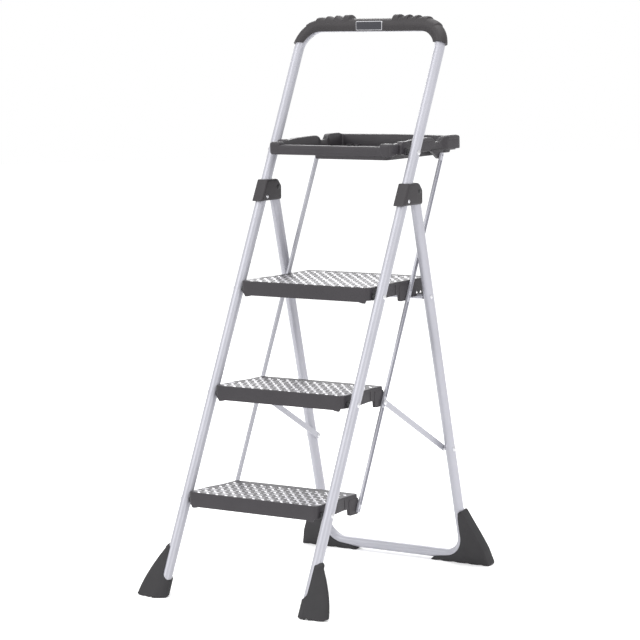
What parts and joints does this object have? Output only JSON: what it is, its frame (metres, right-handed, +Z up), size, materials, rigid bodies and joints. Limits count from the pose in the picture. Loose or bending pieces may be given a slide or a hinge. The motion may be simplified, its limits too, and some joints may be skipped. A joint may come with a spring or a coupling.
{
  "type": "platform step ladder",
  "caption": "Folding step ladder with moulded treads, a deeper top platform, a project tray, a padded handle loop, a folding rear frame with braces and flared rubber feet.",
  "frame": {"origin": "on the floor, at the middle of the footprint box of the open ladder", "axes": "+Z up, the steps face -Y, +X is the right-hand side for a person looking along +Y at the steps"},
  "size_m": [0.57, 0.7548, 1.351],
  "materials": {
    "tube_paint": "satin silver-grey powder coat",
    "grip_plastic": "fine matt texture",
    "plaque_plastic": "semi-gloss",
    "block_plastic": "fine matt texture",
    "foot_rubber": "matt",
    "tread_plastic": "moulded grain",
    "tray_plastic": "moulded grain",
    "spacer_plastic": "black nylon",
    "pin_black": "black oxide",
    "bar_steel": "satin silver-grey powder coat",
    "rivet_steel": "zinc-plated"
  },
  "bodies": {
    "front_frame": {"front_frame_tube": "tube_paint", "handle_grip": "grip_plastic", "grip_plaque": "plaque_plastic", "hinge_block_left": "block_plastic", "hinge_block_right": "block_plastic", "hinge_block_rivets": "rivet_steel", "leg_pivot_pins": "pin_black", "front_foot_left": "foot_rubber", "front_foot_right": "foot_rubber", "step_1_rivets": "rivet_steel", "step_2_rivets": "rivet_steel", "platform_rivets": "rivet_steel", "tray_rivets": "rivet_steel", "pivot_spacers": "spacer_plastic"},
    "rear_frame": {"rear_frame_tube": "tube_paint", "leg_end_plugs": "block_plastic", "platform_support_bar": "tube_paint", "support_bar_rivets": "rivet_steel", "rear_foot_left": "foot_rubber", "rear_foot_right": "foot_rubber", "brace_leg_rivets": "rivet_steel"},
    "step_1": {"step_1": "tread_plastic"},
    "step_2": {"step_2": "tread_plastic"},
    "platform": {"platform": "tread_plastic"},
    "tray": {"tray": "tray_plastic"},
    "links": {"link_bar_left": "bar_steel", "link_bar_right": "bar_steel", "link_rivets": "rivet_steel"},
    "braces": {"brace_left": "bar_steel", "brace_right": "bar_steel", "brace_front_rivets": "rivet_steel"}
  },
  "joints": [
    {"name": "rear_frame_fold", "type": "hinge", "parent": "front_frame", "child": "rear_frame", "pos_m": [0, 0.12003, 0.935], "axis": [1, 0, 0], "range_deg": [-35.6, 0]},
    {"name": "step_1_fold", "type": "hinge", "parent": "front_frame", "child": "step_1", "pos_m": [0, -0.25282, 0.218], "axis": [1, 0, 0], "range_deg": [0, 64.81]},
    {"name": "step_2_fold", "type": "hinge", "parent": "front_frame", "child": "step_2", "pos_m": [0, -0.13988, 0.458], "axis": [1, 0, 0], "range_deg": [0, 64.81]},
    {"name": "platform_fold", "type": "hinge", "parent": "front_frame", "child": "platform", "pos_m": [0, -0.02695, 0.698], "axis": [1, 0, 0], "range_deg": [0, 64.81]},
    {"name": "tray_fold", "type": "hinge", "parent": "front_frame", "child": "tray", "pos_m": [0, 0.1274, 1.026], "axis": [1, 0, 0], "range_deg": [0, 64.81]},
    {"name": "links_swing", "type": "hinge", "parent": "step_2", "child": "links", "pos_m": [0, 0.01262, 0.442], "axis": [1, 0, 0], "range_deg": [-64.81, 0]},
    {"name": "braces_swing", "type": "hinge", "parent": "rear_frame", "child": "braces", "pos_m": [0, 0.26074, 0.295], "axis": [1, 0, 0], "range_deg": [-40.61, 0]}
  ],
  "couplings": [
    {"joint": "step_1_fold", "follows": "rear_frame_fold", "ratio": -1.8202},
    {"joint": "step_2_fold", "follows": "rear_frame_fold", "ratio": -1.8202},
    {"joint": "platform_fold", "follows": "rear_frame_fold", "ratio": -1.8202},
    {"joint": "tray_fold", "follows": "rear_frame_fold", "ratio": -1.8202},
    {"joint": "links_swing", "follows": "rear_frame_fold", "ratio": 1.8202},
    {"joint": "braces_swing", "follows": "rear_frame_fold", "ratio": 1.1404}
  ]
}
